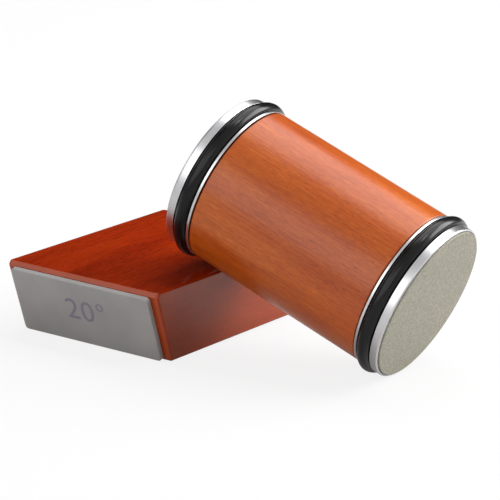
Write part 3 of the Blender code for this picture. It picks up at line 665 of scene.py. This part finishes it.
for degrees in ("20", "15"):
    place = face_frame(f"knife_face_{degrees}")
    corners = [place.inverted() @ vert.co for vert in frame["nodes"][f"knife_pad_{degrees}"].data.vertices]
    size = [max(corner[way] for corner in corners) - min(corner[way] for corner in corners)
            for way in range(3)]
    bm = bmesh.new()
    bmesh.ops.create_cube(bm, size=1)
    bmesh.ops.scale(bm, vec=size, verts=bm.verts)
    bmesh.ops.translate(bm, vec=(0, 0, -size[2] / 2), verts=bm.verts)
    uprights = [edge for edge in bm.edges
                if abs(edge.verts[0].co.z - edge.verts[1].co.z) > size[2] / 2]
    bevel(bm, uprights, PAD_CORNER_RADIUS, PAD_CORNER_STEPS)
    round_edges(bm, PAD_EDGE_ROUND, lambda edge: min(vert.co.z for vert in edge.verts) > -size[2] / 2)
    place_piece(bm, f"silicone_pad_{degrees}", place, pad_silicone, "block", "pad_silicone",
                f"knife_pad_{degrees}")


# Angle marks
# The angle of each face, printed on its pad in one thin layer of darker ink: plain figures
# and a degree sign.
MARK_HEIGHT = 0.0090
MARK_THICKNESS = 0.00004
MARK_SHIFT = (0.0010, 0.0011)
CAP_HEIGHT_SHARE = 0.72
MARK_SPACING = 1.06
MARK_WIDENING = 1.05
MARK_CURVE_STEPS = 8
MARK_MERGE_DISTANCE = 0.0000001

mark_ink, tree, shader, place = start_finish("mark_ink", Matrix(), {"Specular IOR Level": 0.4})
cover = grain(tree, place, scale=3000, detail=3)
drive(tree, shader, "Base Color", cover, (0.3, colour(122, 117, 130)), (0.7, colour(138, 132, 145)))
drive(tree, shader, "Roughness", cover, (0.3, 0.5), (0.7, 0.65))

for degrees in ("20", "15"):
    figures = bpy.data.curves.new(f"mark_{degrees}", "FONT")
    figures.body = f"{degrees}°"
    figures.size = MARK_HEIGHT / CAP_HEIGHT_SHARE
    figures.space_character = MARK_SPACING
    figures.align_x = "CENTER"
    figures.align_y = "CENTER"
    figures.extrude = MARK_THICKNESS / 2
    figures.resolution_u = MARK_CURVE_STEPS
    written = add_object(f"mark_{degrees}", figures)
    bpy.context.view_layer.update()
    drawn = bpy.data.meshes.new_from_object(written.evaluated_get(bpy.context.evaluated_depsgraph_get()))
    bm = bmesh.new()
    bm.from_mesh(drawn)
    bpy.data.objects.remove(written)
    bmesh.ops.remove_doubles(bm, verts=bm.verts, dist=MARK_MERGE_DISTANCE)
    bmesh.ops.scale(bm, vec=(MARK_WIDENING, 1, 1), verts=bm.verts)
    bmesh.ops.translate(bm, vec=(*MARK_SHIFT, MARK_THICKNESS / 2), verts=bm.verts)
    place_piece(bm, f"angle_mark_{degrees}", face_frame(f"knife_face_{degrees}"), mark_ink, "block",
                "pad_silicone")


# Base mat
# A thin sheet of dark rubber glued in a shallow recess under the block, which stops it from
# sliding and keeps the lacquer off the table.
mat_rubber, tree, shader, place = start_finish("mat_rubber", Matrix(), {"Specular IOR Level": 0.3})
crumb = grain(tree, place, scale=1400, detail=5)
drive(tree, shader, "Base Color", crumb, (0.3, colour(36, 36, 38)), (0.7, colour(56, 56, 58)))
drive(tree, shader, "Roughness", crumb, (0.3, 0.7), (0.7, 0.9))
bump(tree, shader, crumb, depth=0.0001, strength=0.4)
give_finish(mat_rubber, "base_mat")


# Floor, light and camera
# A plain white floor and surround for the camera, a grey room with a dark side for what lacquer
# and metal mirror, five soft lamps at a plain level, and the camera where the photograph was
# taken from, with a long lens a little over a metre away.
FLOOR_SIZE = 6.0
FLOOR_DROP = 0.0001
FLOOR_TONE = 0.57
FLOOR_ROUGHNESS = 0.9
FLOOR_GLOW = 1.05
SEEN_GLOW_SHARE = 0.8
MIRRORED_GLOW_SHARE = 0.12
ROOM_LIGHT = 0.22
DARK_SIDE = (-0.578, 0.816, 0.0)
ROOM_WALLS = ((0.35, 0.75), (0.55, 0.5), (0.72, 0.03), (1.0, 0.01))
ROOM_CEILING = ((0.4, 1.0), (0.8, 0.8))
WHITE = (1, 1, 1, 1)


def ray_kinds(tree):
    """Whether a ray comes straight from the camera or through glass, and whether it is mirrored."""
    rays = add_node(tree, "ShaderNodeLightPath").outputs
    seen = add_node(tree, "ShaderNodeMath", {0: rays["Is Camera Ray"], 1: rays["Is Transmission Ray"]},
                    operation="MAXIMUM")
    return seen.outputs[0], rays["Is Glossy Ray"]


floor_finish = bpy.data.materials.new("floor_finish")
floor_finish.use_nodes = True
tree = floor_finish.node_tree
shader = tree.nodes["Principled BSDF"]
shader.inputs["Base Color"].default_value = (FLOOR_TONE, FLOOR_TONE, FLOOR_TONE, 1)
shader.inputs["Roughness"].default_value = FLOOR_ROUGHNESS
shader.inputs["Specular IOR Level"].default_value = 0.0
seen, mirrored = ray_kinds(tree)
open_share = add_node(tree, "ShaderNodeMath", {0: seen, 1: SEEN_GLOW_SHARE}, operation="MULTIPLY")
mirrored_share = add_node(tree, "ShaderNodeMath", {0: mirrored, 1: MIRRORED_GLOW_SHARE},
                          operation="MULTIPLY")
share = add_node(tree, "ShaderNodeMath", {0: open_share.outputs[0], 1: mirrored_share.outputs[0]},
                 operation="MAXIMUM")
glow = add_node(tree, "ShaderNodeEmission", {"Color": WHITE, "Strength": FLOOR_GLOW})
mixed = add_node(tree, "ShaderNodeMixShader", {0: share.outputs[0], 1: shader.outputs[0],
                                               2: glow.outputs[0]})
tree.links.new(mixed.outputs[0], tree.nodes["Material Output"].inputs["Surface"])
bm = bmesh.new()
bmesh.ops.create_grid(bm, x_segments=1, y_segments=1, size=FLOOR_SIZE / 2)
bmesh.ops.translate(bm, vec=(0, 0, -FLOOR_DROP), verts=bm.verts)
mesh = made_mesh(bm, "floor")
mesh.materials.append(floor_finish)
floor = add_object("floor", mesh)

world = bpy.data.worlds.new("studio")
bpy.context.scene.world = world
world.use_nodes = True
tree = world.node_tree
room = tree.nodes["Background"]
room.inputs["Color"].default_value = WHITE
room.inputs["Strength"].default_value = ROOM_LIGHT
white = add_node(tree, "ShaderNodeBackground", {"Color": WHITE, "Strength": 1.0})
way = add_node(tree, "ShaderNodeTexCoord").outputs["Generated"]
behind = add_node(tree, "ShaderNodeVectorMath", {0: way, 1: DARK_SIDE}, operation="DOT_PRODUCT")
behind = add_node(tree, "ShaderNodeMath", {0: behind.outputs["Value"], 1: 0.5, 2: 0.5},
                  operation="MULTIPLY_ADD")
walls = ramp(tree, behind.outputs[0], *ROOM_WALLS)
heights = add_node(tree, "ShaderNodeSeparateXYZ", {0: way})
ceiling = ramp(tree, heights.outputs["Z"], *ROOM_CEILING)
studio = add_node(tree, "ShaderNodeBackground", {"Color": blend(tree, 1.0, walls, ceiling, "MULTIPLY"),
                                                 "Strength": 1.0})
seen, mirrored = ray_kinds(tree)
mixed = add_node(tree, "ShaderNodeMixShader", {0: mirrored, 1: room.outputs[0], 2: studio.outputs[0]})
mixed = add_node(tree, "ShaderNodeMixShader", {0: seen, 1: mixed.outputs[0], 2: white.outputs[0]})
tree.links.new(mixed.outputs[0], tree.nodes["World Output"].inputs["Surface"])

AIM = (0.035, 0.0, 0.03)


def turn_to(place, aim):
    """The turn that points a lamp or a camera from its place at a point."""
    return (Vector(aim) - Vector(place)).to_track_quat("-Z", "Y")


def softbox(name, place, size, power):
    """A rectangular soft light that faces the object, its size in metres and its power in watts."""
    lamp = bpy.data.lights.new(name, "AREA")
    lamp.shape = "RECTANGLE"
    lamp.size, lamp.size_y = size
    lamp.energy = power
    holder = add_object(name, lamp)
    holder.location = place
    holder.rotation_euler = turn_to(place, AIM).to_euler()


softbox("key", place=(0.82, 0.93, 0.60), size=(1.0, 0.8), power=21)
softbox("overhead", place=(0.03, 0.5, 1.03), size=(1.4, 0.95), power=11.5)
softbox("front", place=(0.03, -1.174, 0.565), size=(2.2, 0.85), power=7.8)
softbox("left", place=(-0.69, -0.68, 0.87), size=(0.6, 0.6), power=0.8)
softbox("glint", place=(0.54, 0.18, 1.1), size=(0.12, 0.12), power=1.1)

CAMERA_PLACE = (0.63023, -0.83254, 0.32419)
CAMERA_AIM = (0.03783, 0.00321, 0.03345)
CAMERA_ROLL = math.radians(1.317)
CAMERA_LENS = 208.79
SENSOR_WIDTH = 36.0
camera = add_object("camera", bpy.data.cameras.new("camera"))
camera.data.lens = CAMERA_LENS
camera.data.sensor_width = SENSOR_WIDTH
camera.location = CAMERA_PLACE
look = turn_to(CAMERA_PLACE, CAMERA_AIM).to_matrix()
camera.rotation_euler = (look @ Matrix.Rotation(CAMERA_ROLL, 3, "Z")).to_euler()
bpy.context.scene.camera = camera
bpy.context.scene.view_settings.view_transform = "Standard"
